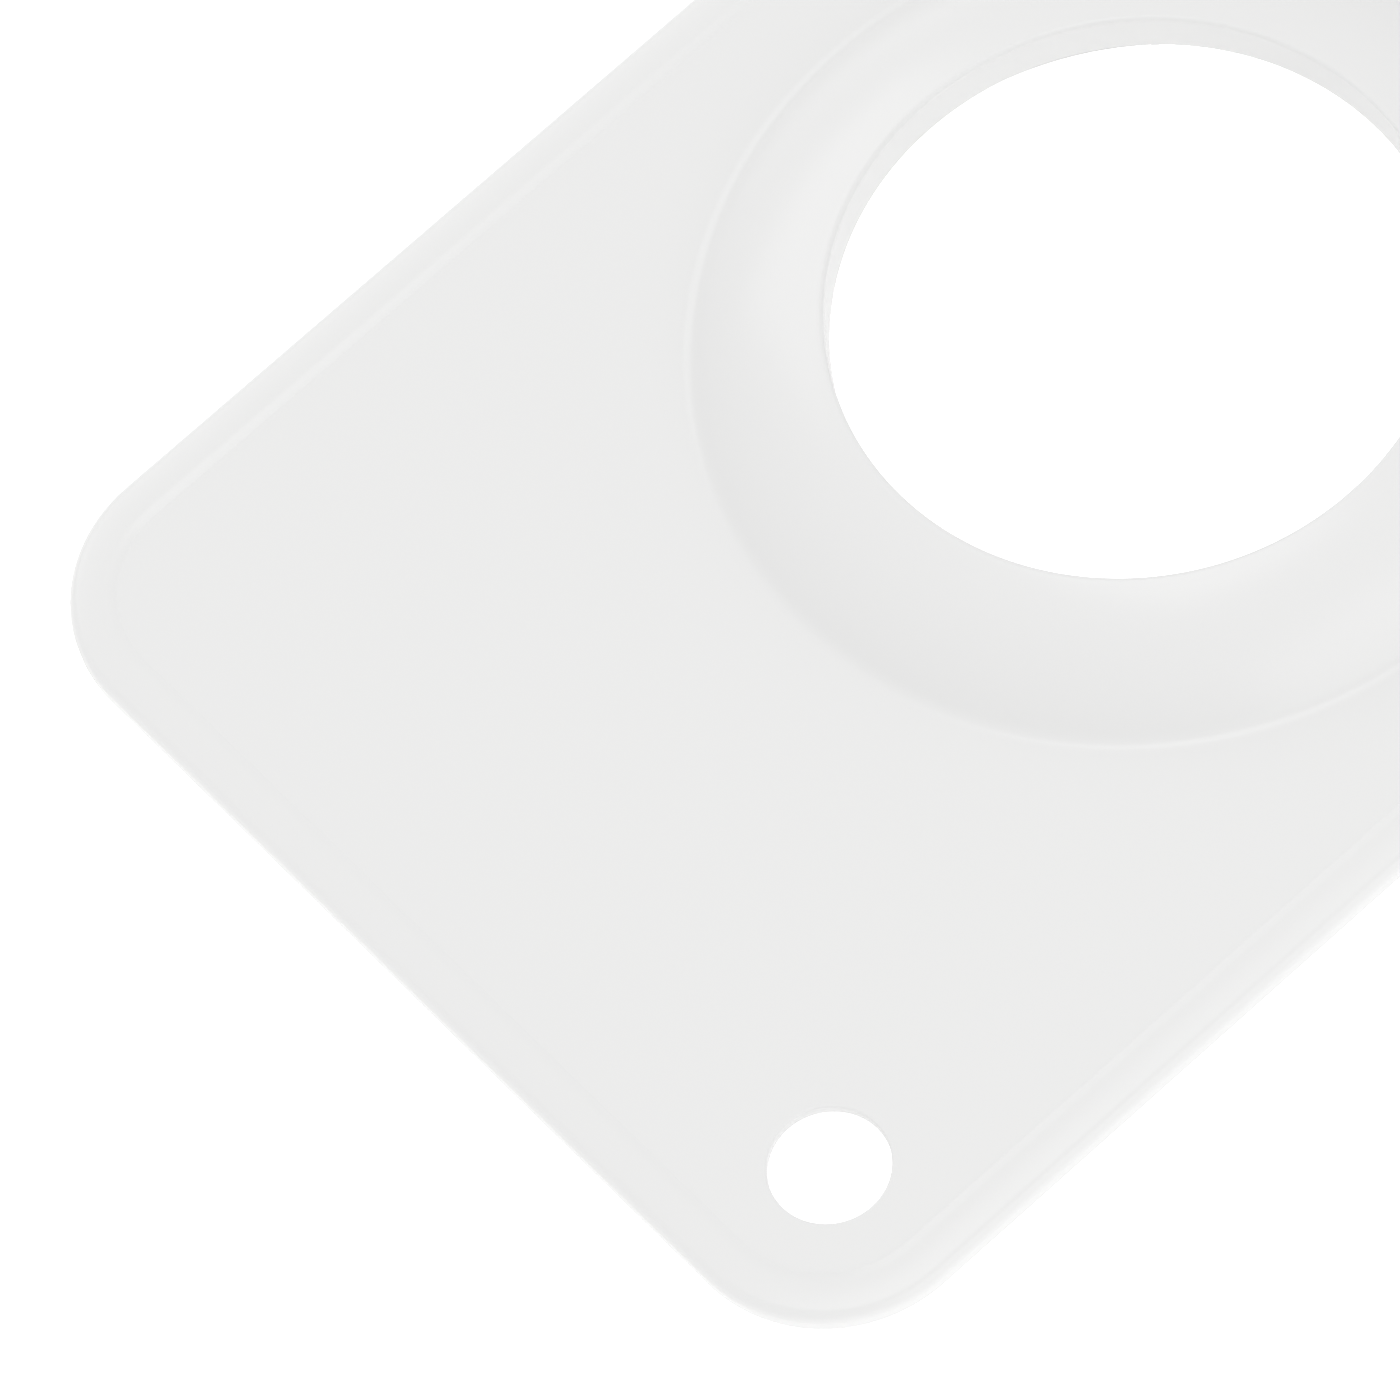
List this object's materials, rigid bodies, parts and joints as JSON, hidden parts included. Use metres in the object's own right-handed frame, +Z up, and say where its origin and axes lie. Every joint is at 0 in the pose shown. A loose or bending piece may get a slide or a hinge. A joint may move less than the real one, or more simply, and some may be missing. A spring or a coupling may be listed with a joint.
{
  "type": "lazy susan turntable",
  "caption": "Rectangular white turntable tray with a low rim, a round opening in a raised boss and a corner finger hole, turning on a hidden ball bearing ring.",
  "frame": {"origin": "on the surface that the turntable stands on, on the vertical axis that the tray turns about, which is also the centre of the footprint", "axes": "+Z up along the axis of rotation, +X along the tray's long side away from the end with the finger hole, +Y across the tray"},
  "size_m": [0.39, 0.24, 0.0283],
  "materials": {
    "tray_plastic": "semi-gloss moulded white",
    "base_plastic": "satin moulded white",
    "cage_nylon": "natural nylon",
    "race_steel": "rolled steel strip",
    "ball_steel": "polished bearing steel",
    "screw_steel": "zinc plated",
    "pad_rubber": "matte grey"
  },
  "bodies": {
    "base": {"base_ring": "base_plastic", "lower_race": "race_steel", "foot_pad_1": "pad_rubber", "foot_pad_2": "pad_rubber", "foot_pad_3": "pad_rubber", "foot_pad_4": "pad_rubber", "foot_pad_5": "pad_rubber", "foot_pad_6": "pad_rubber"},
    "cage": {"ball_cage": "cage_nylon", "ball_01": "ball_steel", "ball_02": "ball_steel", "ball_03": "ball_steel", "ball_04": "ball_steel", "ball_05": "ball_steel", "ball_06": "ball_steel", "ball_07": "ball_steel", "ball_08": "ball_steel", "ball_09": "ball_steel", "ball_10": "ball_steel", "ball_11": "ball_steel", "ball_12": "ball_steel", "ball_13": "ball_steel", "ball_14": "ball_steel", "ball_15": "ball_steel", "ball_16": "ball_steel", "ball_17": "ball_steel", "ball_18": "ball_steel", "ball_19": "ball_steel", "ball_20": "ball_steel"},
    "turning_tray": {"tray": "tray_plastic", "upper_race": "race_steel", "retaining_ring": "base_plastic", "retainer_screw_1": "screw_steel", "retainer_screw_2": "screw_steel", "retainer_screw_3": "screw_steel", "retainer_screw_4": "screw_steel", "retainer_screw_5": "screw_steel", "retainer_screw_6": "screw_steel"}
  },
  "joints": [
    {"name": "tray_spin", "type": "hinge", "parent": "base", "child": "turning_tray", "pos_m": [0, 0, 0.0089], "axis": [0, 0, 1], "continuous": true},
    {"name": "cage_spin", "type": "hinge", "parent": "base", "child": "cage", "pos_m": [0, 0, 0.0089], "axis": [0, 0, 1], "continuous": true}
  ],
  "couplings": [
    {"joint": "cage_spin", "follows": "tray_spin", "ratio": 0.5}
  ]
}
